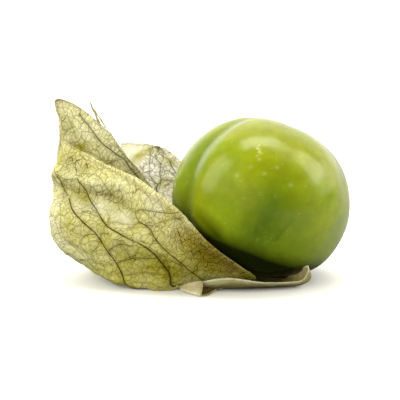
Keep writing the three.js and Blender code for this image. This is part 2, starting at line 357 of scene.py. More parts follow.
# In the materials, a list for a MapRange holds the value, the range it comes from and the range
# it goes to. In a Mix of colours, input 0 is the share and inputs 6 and 7 are the two colours.
def skin_material():
    """Ripe tomatillo skin: a thin waxy cuticle over juicy green flesh. It is smooth, so it takes
    broad soft highlights, and it is faintly streaked and flecked with pale pores."""
    material, add = new_material("tomatillo skin, waxy cuticle over green flesh")
    place_of = add("TexCoord", out="Object")
    clouds, streaks, mottle = (
        add("TexNoise", {"Vector": place_of, "Scale": per_mm(size), "Detail": detail,
                         "Roughness": 0.6})
        for size, detail in ((12, 3.0), (3.4, 4.0), (0.9, 3.0))
    )
    pores = add("TexVoronoi", {"Vector": place_of, "Scale": per_mm(0.8)}, "Distance")
    mask = {
        key: add("Attribute", out="Fac", attribute_name=key)
        for key in ("groove", "cork", "dots", "lit_shoulder", "scar", "painted_shade")
    }
    # Pale pores show in some patches and not in others.
    fleck = add("MapRange", [pores, 0.1, 0.24, 1.0, 0.0])
    patch = add("MapRange", [streaks, 0.48, 0.66, 0.0, 0.24])
    flecks = add("Math", [fleck, patch], operation="MULTIPLY")
    color = add("ValToRGB", [clouds])
    stops = color.node.color_ramp.elements
    stops[0].position, stops[0].color = 0.3, linear("6b8206")
    stops[1].position, stops[1].color = 0.72, linear("879a0c")
    for share, shade in (
        # Yellower over the top round the blossom end: partly the fruit's own ripening, partly painted
        # light from above.
        (mask["lit_shoulder"], "949308"),
        # Painted shade in the grooves, the creases and the valley down the front.
        (mask["groove"], "50680a"),
        (mask["cork"], "dcdc98"),
        (mask["dots"], "d3d890"),
        (flecks, "ccd284"),
        (mask["scar"], "5d4a22"),
        # Painted shade, nearly black: round the stem end, beside the pouch's torn rim and in the deep
        # groove.
        (mask["painted_shade"], "070c02"),
    ):
        color = add("Mix", {0: share, 6: color, 7: linear(shade)}, 2, data_type="RGBA")
    uneven = add("MapRange", [streaks, 0.35, 0.7, 0.9, 1.1])
    color = add("Mix", {0: 1.0, 6: color, 7: uneven}, 2, data_type="RGBA", blend_type="MULTIPLY")
    # Where the shade is painted, the wax and its shine are lowered too.
    wax, shine = (
        add("MapRange", [mask["painted_shade"], 0.0, 0.6, most, least])
        for most, least in ((0.26, 0.03), (0.46, 0.12))
    )
    shader = add(
        "BsdfPrincipled",
        {
            "Base Color": color,
            "Roughness": add("MapRange", [mottle, 0.3, 0.7, 0.2, 0.26]),
            "Normal": add("Bump", {"Height": mottle, "Strength": 0.05, "Distance": 0.00005}),
            "IOR": 1.45,
            "Specular Tint": linear("f4f2d4"),
            "Subsurface Weight": 0.12,
            "Subsurface Radius": (0.6, 0.9, 0.15),
            "Subsurface Scale": 0.003,
            "Specular IOR Level": shine,
            "Coat Weight": wax,
            "Coat Roughness": 0.17,
        },
    )
    add("OutputMaterial", [shader])
    return material


def husk_material(name, light, dark, vein, clear, pale="f6f2ce", fine=1.0):
    """Dried calyx tissue: a thin papery skin that lets light through, between the threads of a
    net of darker, denser veins. `light` and `dark` are the tissue's own two tones, `clear` is the
    share of the light that goes through it between the veins, `pale` is its bleached tone, which
    also serves as painted light, and `fine` is how much of the finest net shows."""
    material, add = new_material(name)
    place_of = add("TexCoord", out="Object")
    sheet = add("Attribute", out="Vector", attribute_name="sheet")
    mask = {
        key: add("Attribute", out="Fac", attribute_name=key)
        for key in ("ridge", "tone", "green", "brown", "bleach", "hollow", "plain")
    }
    patches, fibres, uneven = (
        add("TexNoise", {"Vector": place_of, "Scale": per_mm(size), "Detail": detail,
                         "Roughness": rough})
        for size, detail, rough in ((5, 4.0, 0.6), (0.5, 3.0, 0.7), (3.6, 2.0, 0.5))
    )
    # The net's threads wander: by about half a millimetre over 3 mm, and a little over 0.8 mm.
    bent = sheet
    for size, reach in ((3.2, 0.0022), (0.8, 0.0005)):
        sway = add("TexNoise", {"Vector": sheet, "Scale": per_mm(size), "Detail": 1.0}, "Color",
                   noise_dimensions="2D")
        bent = add("VectorMath", [sway, (reach, reach, 0), bent], operation="MULTIPLY_ADD")
    # Three nets, each of smaller meshes and finer threads: the size of a mesh, the half width of
    # a thread and its soft edge in mm, and how dark it is where `uneven` is low and high.
    network = 0.0
    for size, half, edge, low, high in (
        (2.5, 0.035, 0.1, 0.78, 0.46),
        (1.3, 0.02, 0.08, 0.46, 0.68),
        (0.6, 0.0, 0.06, 0.2 * fine, 0.32 * fine),
    ):
        apart = add("TexVoronoi", {"Vector": bent, "Scale": per_mm(size)}, "Distance",
                    feature="DISTANCE_TO_EDGE", voronoi_dimensions="2D")
        thread = add("MapRange", [apart, half / size, (half + edge) / size, 1.0, 0.0])
        depth = add("MapRange", [uneven, 0.38, 0.62, low, high])
        thread = add("Math", [thread, depth], operation="MULTIPLY")
        network = add("Math", [thread, network], operation="MAXIMUM")
    # The net fades in plain tissue, and is denser where shade is painted.
    shown = add("MapRange", [mask["plain"], 0.0, 1.0, 1.0, 0.0])
    shown = add("Math", [mask["hollow"], 1.1, shown], operation="MULTIPLY_ADD")
    network = add("Math", [network, shown], operation="MULTIPLY", use_clamp=True)
    # `ridge` is the distance in mm to the edge of the nearest large vein, less than 0 inside it.
    large = add("MapRange", [mask["ridge"], -0.04, 0.08, 1.0, 0.0])
    beside = add("MapRange", [mask["ridge"], 0.0, 0.8, 0.35, 0.0])
    large, beside = (
        add("Math", [part, mask["tone"]], operation="MULTIPLY") for part in (large, beside)
    )
    veins = add("Math", [large, network], operation="MAXIMUM")
    color = add("ValToRGB", [patches])
    stops = color.node.color_ramp.elements
    stops[0].position, stops[0].color = 0.32, linear(dark)
    stops[1].position, stops[1].color = 0.66, linear(light)
    for share, shade in (
        # Bleached tissue, and painted light on facets that face the lamps.
        (mask["bleach"], pale),
        (mask["green"], "aea810"),
        # Painted shade, a darker olive.
        (mask["hollow"], "94841c"),
        # Brown aged tissue and torn rims, and painted shade in the pocket and low on the lobe under
        # the berry.
        (mask["brown"], "86683a"),
        (beside, "8f8a2c"),
    ):
        color = add("Mix", {0: share, 6: color, 7: linear(shade)}, 2, data_type="RGBA")
    # Each mesh of the middle net has a tone of its own.
    cells = add("TexVoronoi", {"Vector": bent, "Scale": per_mm(1.3)}, "Color",
                voronoi_dimensions="2D")
    grain = add("MapRange", [cells, 0.1, 0.9, 0.9, 1.06])
    color = add("Mix", {0: 1.0, 6: color, 7: grain}, 2, data_type="RGBA", blend_type="MULTIPLY")
    color = add("Mix", {0: veins, 6: color, 7: linear(vein)}, 2, data_type="RGBA")
    height = add("Mix", {0: 0.45, 2: fibres, 3: network}, data_type="FLOAT")
    rough = add("Bump", {"Height": height, "Strength": 0.6, "Distance": 0.00014})
    sheen = add("BsdfPrincipled", {"Base Color": color, "Roughness": 0.6, "Normal": rough,
                                   "Specular IOR Level": 0.1})
    # Light crosses two faces of the sheet, so each gives it half of the tissue's tint.
    tint = add("Gamma", {"Color": color, "Gamma": 0.5})
    through = add("BsdfTranslucent", {"Color": tint, "Normal": rough})
    share = add("MapRange", [veins, 0.0, 1.0, clear, 0.1])
    add("OutputMaterial", [add("MixShader", [share, sheen, through])])
    return material


SKIN = skin_material()
# The pouch's near side, with the light behind it: green tan, painted darker than its far side as the
# shaded copy of the same tissue.
HUSK_OUTER = husk_material("dried husk, green tan", "f4f2b6", "d8d272", "443400", 0.34)
# The pouch's far side, seen from within: straw yellow, painted lighter as the lit copy of the same
# tissue, and bright with the light through it.
HUSK_INNER = husk_material("dried husk, straw yellow", "f8f6cc", "e4e0a4", "544200", 0.56)
# The lobe behind the berry: a thin white membrane in which only the larger veins stand out.
HUSK_BLEACHED = husk_material(
    "dried husk, bleached membrane", "fdfaec", "f5f0d0", "3a2a08", 0.66, pale="fffdf6", fine=0.3
)
# The lobe under the berry, the calyx base and the loose veins: dull, with little light through.
HUSK_TAN = husk_material("dried husk, tan paper", "c0b67c", "a2985a", "6c6030", 0.2)
# Painted deep shade for the torn tissue in the pocket under the fold: a dark brown, with hardly any
# light through it.
HUSK_SHADED = husk_material("dried husk, painted deep shade", "4c3c1a", "2e220c", "1a1406", 0.05)

# ---------------------------------------------------------------- husk strips


def rib(angle, height, *points):
    """A rib of a strip: from the ring round the calyx base, at an angle, and on through points."""
    turn = math.radians(angle)
    start = (
        CALYX_CENTRE[0] + CALYX_RING * math.cos(turn),
        CALYX_CENTRE[1] + CALYX_RING * math.sin(turn),
        height,
    )
    return np.array([start, *points], float)


POUCH_RIBS = [
    rib(-92, 1.4, (14.2, -15.2, 3.4), (8, -19.3, 9.2), (1, -19.5, 17), (-7.5, -15.5, 23),
        (-15.5, -9.5, 27.5), (-25.5, -5, 31), (-35.2, -1.4, 35.8)),
    rib(-112, 1.4, (9, -13.2, 2.3), (2.5, -16, 3.6), (-4.5, -18.8, 9.5), (-11.5, -16.5, 15),
        (-18.5, -12.2, 20.5), (-26.5, -8.5, 27.5), (-35.9, -1.1, 34.9)),
    rib(-130, 1.4, (3.5, -12.2, 1.6), (-6.5, -13.5, 0.9), (-11, -17, 9), (-19.5, -15.7, 14),
        (-26, -11.5, 20.5), (-31, -6.8, 26), (-36.5, -0.5, 34)),
    rib(-148, 1.2, (0, -9.5, 1.3), (-15.5, -14.6, 0.7), (-22, -14, 7), (-28, -12.5, 14),
        (-33, -9, 20.5), (-36, -4.5, 26), (-36.8, 0.3, 33.5)),
    rib(-165, 0.9, (-1.5, -5.5, 1.1), (-20.5, -11.5, 0.8), (-28.5, -9.5, 3.8), (-35.5, -7, 9.5),
        (-38.6, -4, 17.5), (-38, -2, 25), (-36.9, 1.1, 33.4)),
    rib(178, 0.7, (-2.5, -1, 0.7), (-19.5, -3, 0.7), (-31, -1, 4), (-38, 0.5, 9.5),
        (-38.7, 2, 17), (-37.5, 2.5, 25.5), (-36.6, 2, 34.3)),
    rib(169, 0.7, (-1, 1.2, 0.6), (-17, 1.5, 0.7), (-30.5, 4, 3.8), (-37, 6, 10),
        (-37.8, 6.5, 19), (-37.5, 5, 29.5), (-36.6, 3, 40)),
    rib(160, 0.6, (0.5, 3, 0.6), (-14.5, 5, 0.7), (-28, 9, 4), (-35, 10.5, 11),
        (-36.5, 10, 21), (-37, 7, 32), (-37.5, 4, 46)),
    rib(145, 0.6, (4, 7, 0.6), (-6.5, 11, 1.7), (-16, 14.5, 7), (-23.5, 14, 15),
        (-28, 11.5, 23), (-30, 8, 33.5), (-32, 5, 44.3)),
    rib(130, 0.6, (7.5, 9, 0.7), (-1, 13.8, 3), (-9, 16.5, 10.5), (-15.5, 13.5, 22),
        (-19.5, 11.5, 28), (-24, 9.5, 32), (-27, 7, 40)),
    rib(120, 0.6, (9, 11, 0.7), (0.5, 15.8, 3), (-7.5, 17.8, 11), (-14, 14.5, 22),
        (-18, 12, 27.5), (-20.5, 10.5, 31.5), (-23.5, 8.5, 36.5)),
]

SIDE_RIBS = [
    rib(112, 0.5, (9.5, 12.5, 0.9), (0.5, 18.7, 3.2), (-8.5, 20.8, 10.5), (-16, 18.8, 19.5),
        (-19.5, 16.6, 26), (-21.5, 15, 32.5)),
    rib(95, 0.5, (13.5, 14, 0.9), (7, 20.8, 4.5), (-0.5, 23, 11), (-8.5, 20.5, 18),
        (-12.5, 18, 24.5), (-14.5, 15.5, 32.4)),
    rib(78, 0.5, (17, 14.2, 0.9), (12, 22.9, 6.3), (5.5, 26.5, 11), (-2.5, 24, 18.5),
        (-7, 19.7, 25), (-9, 15.7, 31)),
    rib(60, 0.5, (20, 13.8, 0.9), (17, 23.2, 6.7), (12, 27.5, 10.5), (4.5, 26.5, 18),
        (-2, 22, 23.5), (-5.5, 16.5, 27)),
]

LOWER_RIBS = [
    rib(-135, FLAT, (4.5, -11, FLAT), (3, -13.2, FLAT), (1.8, -15.2, 0.5), (1.1, -16.9, 1.5),
        (0.8, -17.5, 2.9)),
    rib(-108, FLAT, (6, -12, FLAT), (5, -13.4, FLAT), (4.2, -15, 0.6), (3.9, -16.8, 1.9),
        (3.8, -17.4, 3.5)),
    rib(-85, FLAT, (8.5, -12, FLAT), (7.9, -13.2, FLAT), (7.6, -14.8, 0.6), (7.5, -16.4, 2.1),
        (7.6, -17, 3.7)),
    rib(-60, FLAT, (11.5, -11.5, FLAT), (10.9, -12.8, FLAT), (10.7, -14.4, 0.6), (10.8, -16, 2),
        (10.9, -16.6, 3.2)),
    rib(-38, FLAT, (15.5, -10.5, FLAT), (15.7, -12, FLAT), (15.7, -13.8, 0.5), (15.7, -15.3, 1.4),
        (15.7, -16, 2.3)),
    rib(-18, FLAT, (19.5, -8.5, FLAT), (20.6, -10.8, FLAT), (21.2, -12.9, 0.5), (21.5, -14.9, 1.3),
        (21.5, -15.5, 2.2)),
    rib(-2, FLAT, (20, -6.5, FLAT), (23.3, -9.8, 0.4), (24.8, -12.6, 0.6), (26, -14.7, 1.7),
        (26.1, -15.7, 3)),
    rib(10, FLAT, (19, -5, FLAT), (23.3, -7.8, 0.5), (26.2, -11, 1.3), (27.9, -13.9, 3.4),
        (27.1, -15.6, 6.6)),
    rib(22, FLAT, (15.5, -2.5, FLAT), (17.5, -3, FLAT), (19.3, -3.7, FLAT), (20.7, -4.4, FLAT),
        (21.8, -5, FLAT)),
]
# The lobe's left corner is folded over towards the front: ribs from its point to the fold.
CORNER_RIBS = [
    [(-5.3, -16.8, 1.4), (-5.2, -17, 1.1), (-4.9, -17.2, 0.7)],
    [(-3.3, -17, 2.3), (-3.4, -17.9, 1.4), (-3.5, -18.6, 0.55)],
    [(-1.2, -17.4, 2.9), (-1.5, -18.8, 1.6), (-1.9, -20, 0.3)],
    [(0.1, -17.7, 3.05), (-0.3, -19.7, 1.8), (-0.8, -21.1, 0.25)],
    [(0.95, -17.9, 3), (0.65, -20, 1.7), (0.3, -21.6, 0.2)],
]
# Under the fold the torn tissue lies on the table, in deep shade painted dark brown, with a thin
# rolled edge.
POCKET_RIBS = [
    [(0.7, -17.4, 1.4), (0.5, -19.5, 0.7), (0.4, -21.4, 0.2)],
    [(2.2, -16.2, 1), (2, -18, 0.3), (1.9, -20.4, 0.2)],
    [(3.6, -15.2, 0.7), (3.3, -16, 0.25), (3.1, -17.4, 0.2)],
    [(6, -14.2, 0.6), (5.9, -14.3, 0.3), (5.9, -14.4, 0.2)],
]
ROLLED_EDGE = [(0.3, -21.5, 0.3), (1.9, -20.5, 0.3), (3.1, -17.5, 0.35), (4.2, -15.5, 0.35),
               (5.9, -14.5, 0.3)]

# Soft folds of the pouch, as in the solids: a shift inwards in mm, the width and the line.
POUCH_FOLDS = [
    (2.2, 2.8, [(-38, -3, 23), (-29.5, -10, 22), (-22.5, -13, 20.5), (-17, -15, 18)]),
    (-1.3, 3.6, [(-36, -3, 28), (-29, -7.5, 27), (-21, -10.5, 25), (-15, -12, 22.5)]),
]
# Sharp creases of the pouch, with their lines as (share across, share along).
POUCH_CREASES = [
    (1.5, 1.1, [(0.37, 0.85), (0.32, 0.832), (0.25, 0.82), (0.196, 0.81), (0.14, 0.79),
                (0.106, 0.776), (0.094, 0.728), (0.09, 0.69)]),
    (-0.9, 1.7, [(0.26, 0.87), (0.2, 0.86), (0.14, 0.85), (0.09, 0.82), (0.05, 0.77)]),
    (-0.7, 1.8, [(0.24, 0.78), (0.2, 0.765), (0.16, 0.74), (0.13, 0.7), (0.12, 0.66)]),
    (0.7, 0.8, [(0.2, 0.8), (0.205, 0.74), (0.215, 0.67), (0.2, 0.6), (0.182, 0.53)]),
    (0.8, 0.9, [(0.18, 0.43), (0.184, 0.36), (0.195, 0.28), (0.2, 0.2)]),
    (-0.35, 1.4, [(0.155, 0.6), (0.15, 0.52), (0.15, 0.45), (0.155, 0.38)]),
    (0.6, 0.7, [(0.36, 0.9), (0.335, 0.875), (0.345, 0.85), (0.33, 0.81), (0.31, 0.78)]),
    (-0.5, 0.8, [(0.4, 0.89), (0.36, 0.88), (0.33, 0.9)]),
    (0.5, 0.6, [(0.17, 0.9), (0.18, 0.86), (0.2, 0.82)]),
    (0.4, 0.5, [(0.12, 0.87), (0.115, 0.82), (0.11, 0.785)]),
    (0.35, 0.5, [(0.08, 0.83), (0.085, 0.78), (0.1, 0.75)]),
    (0.5, 0.9, [(0.1, 0.7), (0.09, 0.62), (0.07, 0.56), (0.03, 0.5)]),
    (-0.5, 1.1, [(0.14, 0.64), (0.11, 0.64), (0.085, 0.6), (0.06, 0.54)]),
    (0.4, 0.8, [(0.3, 0.76), (0.285, 0.6), (0.29, 0.45), (0.3, 0.36)]),
    (0.35, 0.7, [(0.4, 0.78), (0.385, 0.7), (0.39, 0.6), (0.37, 0.5)]),
    (0.5, 0.8, [(0.72, 0.79), (0.76, 0.815), (0.8, 0.8), (0.83, 0.77)]),
    (-0.4, 0.9, [(0.7, 0.9), (0.735, 0.87), (0.775, 0.845), (0.8, 0.82)]),
    (0.4, 0.7, [(0.76, 0.97), (0.775, 0.93), (0.775, 0.88), (0.78, 0.85)]),
]
# Small shifts of the pouch's outline: the middle, the radius and the shift, in mm.
POUCH_SHIFTS = [
    ((-36.7, 1.5, 32.5), 3.4, (1.5, 0, 0)),
    ((-36.9, 0, 29.2), 2.3, (1.1, 0, 0)),
    ((-36.5, 5, 38.5), 4.2, (1.3, 0, 0)),
    ((-38.2, -1.5, 25.4), 2.2, (-0.3, 0, 0)),
    ((-38.6, -1, 19.8), 2.8, (0.7, 0, 0)),
    ((-38.2, 0, 13), 4, (0.3, 0, 0)),
    ((-33, -8.5, 6), 5, (1.3, 0, 1.2)),
    ((-26, -11, 2.5), 4, (0.2, 0, 0.5)),
    ((-9, -12.5, 0.8), 4.6, (0, -2.4, -0.2)),
    ((2, -19.4, 15.8), 7, (-1.1, 0, -1.1)),
]

# Veins as (share across, share along) of their strip, with the width in mm at the two ends and
# how dark they are.
FRONT_VEINS = [
    ([(0.32, 0.02), (0.31, 0.16), (0.325, 0.28), (0.303, 0.36), (0.296, 0.42), (0.29, 0.5),
      (0.284, 0.57), (0.296, 0.64), (0.307, 0.7), (0.31, 0.77)], (0.45, 0.28), 0.95),
    ([(0.2, 0.02), (0.2, 0.14), (0.203, 0.28), (0.19, 0.35), (0.198, 0.42), (0.18, 0.49),
      (0.18, 0.53), (0.2, 0.59), (0.217, 0.64), (0.206, 0.74), (0.2, 0.8), (0.19, 0.835),
      (0.176, 0.875)], (0.46, 0.3), 0.95),
    ([(0.12, 0.02), (0.12, 0.2), (0.118, 0.33), (0.117, 0.4), (0.121, 0.46), (0.115, 0.52),
      (0.108, 0.56), (0.097, 0.6), (0.104, 0.655)], (0.38, 0.23), 0.95),
    ([(0.104, 0.655), (0.09, 0.69), (0.067, 0.665), (0.044, 0.605), (0.024, 0.555),
      (0.004, 0.525)], (0.14, 0.17), 0.83),
    ([(0.118, 0.33), (0.078, 0.37), (0.056, 0.35), (0.04, 0.326), (0.022, 0.282)],
     (0.14, 0.1), 0.8),
    ([(0.296, 0.42), (0.26, 0.434), (0.246, 0.437), (0.198, 0.428)], (0.18, 0.18), 0.95),
    ([(0.255, 0.435), (0.25, 0.46), (0.245, 0.49)], (0.17, 0.13), 0.95),
    ([(0.284, 0.568), (0.32, 0.568), (0.345, 0.54), (0.35, 0.5)], (0.16, 0.13), 0.95),
    ([(0.3, 0.512), (0.338, 0.49), (0.36, 0.44)], (0.16, 0.13), 0.83),
    ([(0.286, 0.484), (0.255, 0.51), (0.235, 0.52), (0.215, 0.51)], (0.17, 0.14), 0.95),
    ([(0.29, 0.53), (0.262, 0.575), (0.235, 0.58)], (0.16, 0.13), 0.9),
    ([(0.104, 0.655), (0.09, 0.606), (0.066, 0.584), (0.034, 0.542), (0.006, 0.505)],
     (0.16, 0.13), 0.76),
    ([(0.066, 0.67), (0.068, 0.636), (0.072, 0.584)], (0.14, 0.13), 0.62),
    ([(0.274, 0.858), (0.23, 0.868), (0.18, 0.874)], (0.14, 0.16), 0.83),
    ([(0.176, 0.875), (0.14, 0.89), (0.1, 0.872), (0.085, 0.848), (0.094, 0.82), (0.1, 0.77),
      (0.09, 0.69)], (0.13, 0.1), 0.55),
    ([(0.292, 0.88), (0.285, 0.856), (0.32, 0.83), (0.315, 0.79)], (0.22, 0.17), 0.95),
    ([(0.36, 0.02), (0.38, 0.16), (0.39, 0.3), (0.385, 0.45), (0.38, 0.6)], (0.25, 0.14), 0.57),
    ([(0.04, 0.02), (0.05, 0.12), (0.035, 0.2), (0.012, 0.27)], (0.2, 0.1), 0.5),
    ([(0.2, 0.3), (0.16, 0.33), (0.118, 0.37)], (0.14, 0.14), 0.69),
    ([(0.303, 0.36), (0.25, 0.37), (0.215, 0.36)], (0.16, 0.13), 0.76),
    ([(0.312, 0.3), (0.36, 0.31), (0.385, 0.33)], (0.16, 0.13), 0.69),
    ([(0.18, 0.49), (0.14, 0.53), (0.113, 0.53)], (0.16, 0.13), 0.76),
    ([(0.217, 0.64), (0.17, 0.66), (0.13, 0.65), (0.104, 0.655)], (0.14, 0.13), 0.57),
    ([(0.22, 0.67), (0.26, 0.68), (0.3, 0.67)], (0.14, 0.13), 0.57),
    ([(0.36, 0.895), (0.335, 0.875), (0.345, 0.85), (0.33, 0.81)], (0.17, 0.14), 0.95),
    ([(0.16, 0.62), (0.13, 0.64), (0.104, 0.655)], (0.13, 0.14), 0.69),
]
REAR_VEINS = [
    ([(0.9, 0.02), (0.9, 0.3), (0.9, 0.57), (0.897, 0.64), (0.896, 0.69), (0.905, 0.74),
      (0.907, 0.81), (0.905, 0.85), (0.874, 0.886), (0.856, 0.914), (0.835, 0.935),
      (0.8, 0.965)], (0.34, 0.16), 0.9),
    ([(0.7, 0.02), (0.7, 0.3), (0.7, 0.55), (0.705, 0.8), (0.7, 0.98)], (0.31, 0.19), 0.6),
    ([(0.8, 0.02), (0.8, 0.3), (0.79, 0.55), (0.79, 0.75), (0.775, 0.86), (0.74, 0.95)],
     (0.28, 0.15), 0.6),
    ([(0.6, 0.02), (0.6, 0.3), (0.595, 0.6), (0.6, 0.85), (0.64, 0.93)], (0.28, 0.15), 0.6),
    ([(0.98, 0.02), (0.975, 0.4), (0.97, 0.7), (0.975, 0.9)], (0.25, 0.15), 0.6),
    ([(0.897, 0.64), (0.86, 0.66), (0.82, 0.72), (0.79, 0.75)], (0.15, 0.12), 0.6),
    ([(0.905, 0.74), (0.86, 0.77), (0.82, 0.82), (0.78, 0.83)], (0.15, 0.12), 0.66),
    ([(0.905, 0.74), (0.94, 0.76), (0.965, 0.8)], (0.12, 0.11), 0.6),
    ([(0.907, 0.83), (0.94, 0.86), (0.97, 0.91)], (0.12, 0.11), 0.6),
    ([(0.705, 0.8), (0.74, 0.84), (0.775, 0.86)], (0.14, 0.12), 0.6),
    ([(0.9, 0.45), (0.85, 0.48), (0.8, 0.52)], (0.16, 0.12), 0.6),
    ([(0.7, 0.5), (0.65, 0.56), (0.6, 0.58)], (0.15, 0.12), 0.6),
    ([(0.7, 0.66), (0.75, 0.7), (0.79, 0.72)], (0.15, 0.12), 0.6),
]
SIDE_VEINS = [
    ([(0.3, 0.02), (0.24, 0.2), (0.16, 0.4), (0.13, 0.56), (0.186, 0.666), (0.266, 0.72)],
     (0.31, 0.2), 0.9),
    ([(0.266, 0.72), (0.366, 0.764), (0.408, 0.818), (0.464, 0.87), (0.43, 0.92), (0.482, 0.956),
      (0.548, 0.996)], (0.07, 0.03), 1.0),
    ([(0.266, 0.72), (0.258, 0.754), (0.242, 0.788), (0.27, 0.828), (0.314, 0.884),
      (0.352, 0.93), (0.4, 0.984)], (0.05, 0.02), 0.95),
    ([(0.162, 0.832), (0.244, 0.866), (0.336, 0.882), (0.464, 0.87)], (0.02, 0.03), 0.9),
    ([(0.464, 0.87), (0.54, 0.904), (0.584, 0.952)], (0.02, 0.01), 0.9),
    ([(0.366, 0.764), (0.432, 0.756), (0.532, 0.738), (0.64, 0.7)], (0.05, 0.03), 0.95),
    ([(0.544, 0.99), (0.584, 0.952), (0.658, 0.898), (0.71, 0.848)], (0.02, 0.02), 0.7),
    ([(0.124, 0.812), (0.156, 0.778), (0.242, 0.788)], (0.02, 0.03), 0.85),
    ([(0.408, 0.818), (0.532, 0.816), (0.598, 0.784)], (0.03, 0.02), 0.9),
    ([(0.7, 0.02), (0.68, 0.3), (0.66, 0.5), (0.64, 0.7), (0.64, 0.85), (0.66, 0.9)],
     (0.31, 0.12), 0.84),
    ([(0.24, 0.2), (0.4, 0.36), (0.5, 0.46), (0.65, 0.52)], (0.19, 0.12), 0.72),
    ([(0.13, 0.5), (0.3, 0.56), (0.45, 0.6), (0.64, 0.68)], (0.16, 0.12), 0.72),
    ([(0.16, 0.4), (0.07, 0.5), (0.04, 0.65), (0.07, 0.8)], (0.19, 0.12), 0.6),
    ([(0.66, 0.5), (0.8, 0.56), (0.9, 0.66)], (0.19, 0.12), 0.72),
    ([(0.68, 0.3), (0.82, 0.36), (0.93, 0.46)], (0.19, 0.12), 0.72),
]
LOWER_VEINS = [
    ([(0.0, 0.8), (0.25, 0.8), (0.5, 0.78), (0.7, 0.8), (0.85, 0.85)], (0.14, 0.12), 0.35),
    ([(0.0, 0.9), (0.25, 0.92), (0.5, 0.88), (0.7, 0.9), (0.85, 0.93)], (0.12, 0.12), 0.3),
    ([(0.1, 0.7), (0.4, 0.7), (0.6, 0.72)], (0.14, 0.12), 0.3),
    ([(0.5, 0.4), (0.55, 0.7), (0.6, 0.93)], (0.2, 0.14), 0.3),
    ([(0.2, 0.4), (0.24, 0.7), (0.3, 1.0)], (0.2, 0.14), 0.3),
]
CORNER_VEINS = [
    ([(0.1, 0.6), (0.5, 0.45), (1.0, 0.5)], (0.14, 0.18), 0.35),
    ([(0.5, 0.45), (0.8, 0.2), (1.0, 0.15)], (0.12, 0.12), 0.3),
]


def on_strip(ribs, line):
    """A line of shares as a line in space."""
    line = smooth(line, np.linspace(0, 1, 12 * len(line)))
    return over_ribs(ribs, line[:, 0], line[:, 1])


def vein_lines(ribs, veins):
    """The veins as finely stepped lines in space, with each step's width and darkness."""
    lines = []
    for points, widths, tone in veins:
        shares = np.linspace(0, 1, 60 * len(points))
        line = smooth(points, shares)
        space = over_ribs(ribs, line[:, 0], line[:, 1])
        width = np.interp(shares, (0, 1), widths)
        lines.append((space, np.stack([width, np.full(len(shares), tone)], -1)))
    return lines


def press_folds(grid, folds, creases):
    """Shifts a surface along its normals: softly along folds and sharply along creases."""
    shift = np.zeros(grid.shape[:2])
    for sharp, group in ((False, folds), (True, creases)):
        for depth, width, samples in group:
            distance = np.full(grid.shape[:2], np.inf)
            for sample in samples:
                distance = np.minimum(distance, np.linalg.norm(grid - sample, axis=-1))
            edge = np.exp(-np.hypot(distance, 0.12) / width) if sharp else bump(distance, width)
            shift += depth * edge
    return grid + grid_normals(grid) * shift[..., None]


def near(points, centre, radius):
    """1 at the centre, and down smoothly to nearly 0 at twice the radius."""
    return bump(np.linalg.norm(points - np.array(centre, float), axis=-1), radius)


def painted(points, spots):
    """Masks from spots: for each layer, rows of x, y, z, radius and strength."""
    masks = {}
    for layer, rows in spots.items():
        total = 0
        for *centre, radius, strength in rows:
            total = total + strength * near(points, centre, radius)
        uneven = 1 + 0.5 * noise(points, 2.6, 61) + 0.35 * noise(points, 0.9, 62)
        masks[layer] = np.clip(total * uneven, 0, 1)
    return masks


def strip_shares(across, size, ragged, seed):
    """The shares across and along a strip at each point of its grid. The part near the base is
    hidden under the berry, so it gets few rows. The free rim, some 60 mm long, is a little ragged."""
    u = np.linspace(*across, size[0])[None, :]
    v = np.interp(np.linspace(0, 1, size[1]), (0, 0.07, 1), (0, 0.14, 1))[:, None]
    u, v = np.broadcast_arrays(u, v)
    line = np.stack([u * 60, v * 0, u * 0], -1)
    worn = ragged * (0.5 + 0.8 * noise(line, 3.1, seed + 11) + 0.35 * noise(line, 1.1, seed + 12))
    return u, v * (1 - np.clip(worn, 0, None))


def swelling(points, distance, seed):
    """How far the tissue swells outwards, in mm: it does between its veins, `distance` away from
    them, and is crumpled all over."""
    return (
        0.45 * (1 - bump(distance, 2.4))
        + 0.45 * crinkle(points, 5.5, seed + 7)
        + 0.34 * crinkle(points, 2.3, seed + 8)
        + 0.12 * crinkle(points, 1.0, seed + 9)
        - 0.4
    )


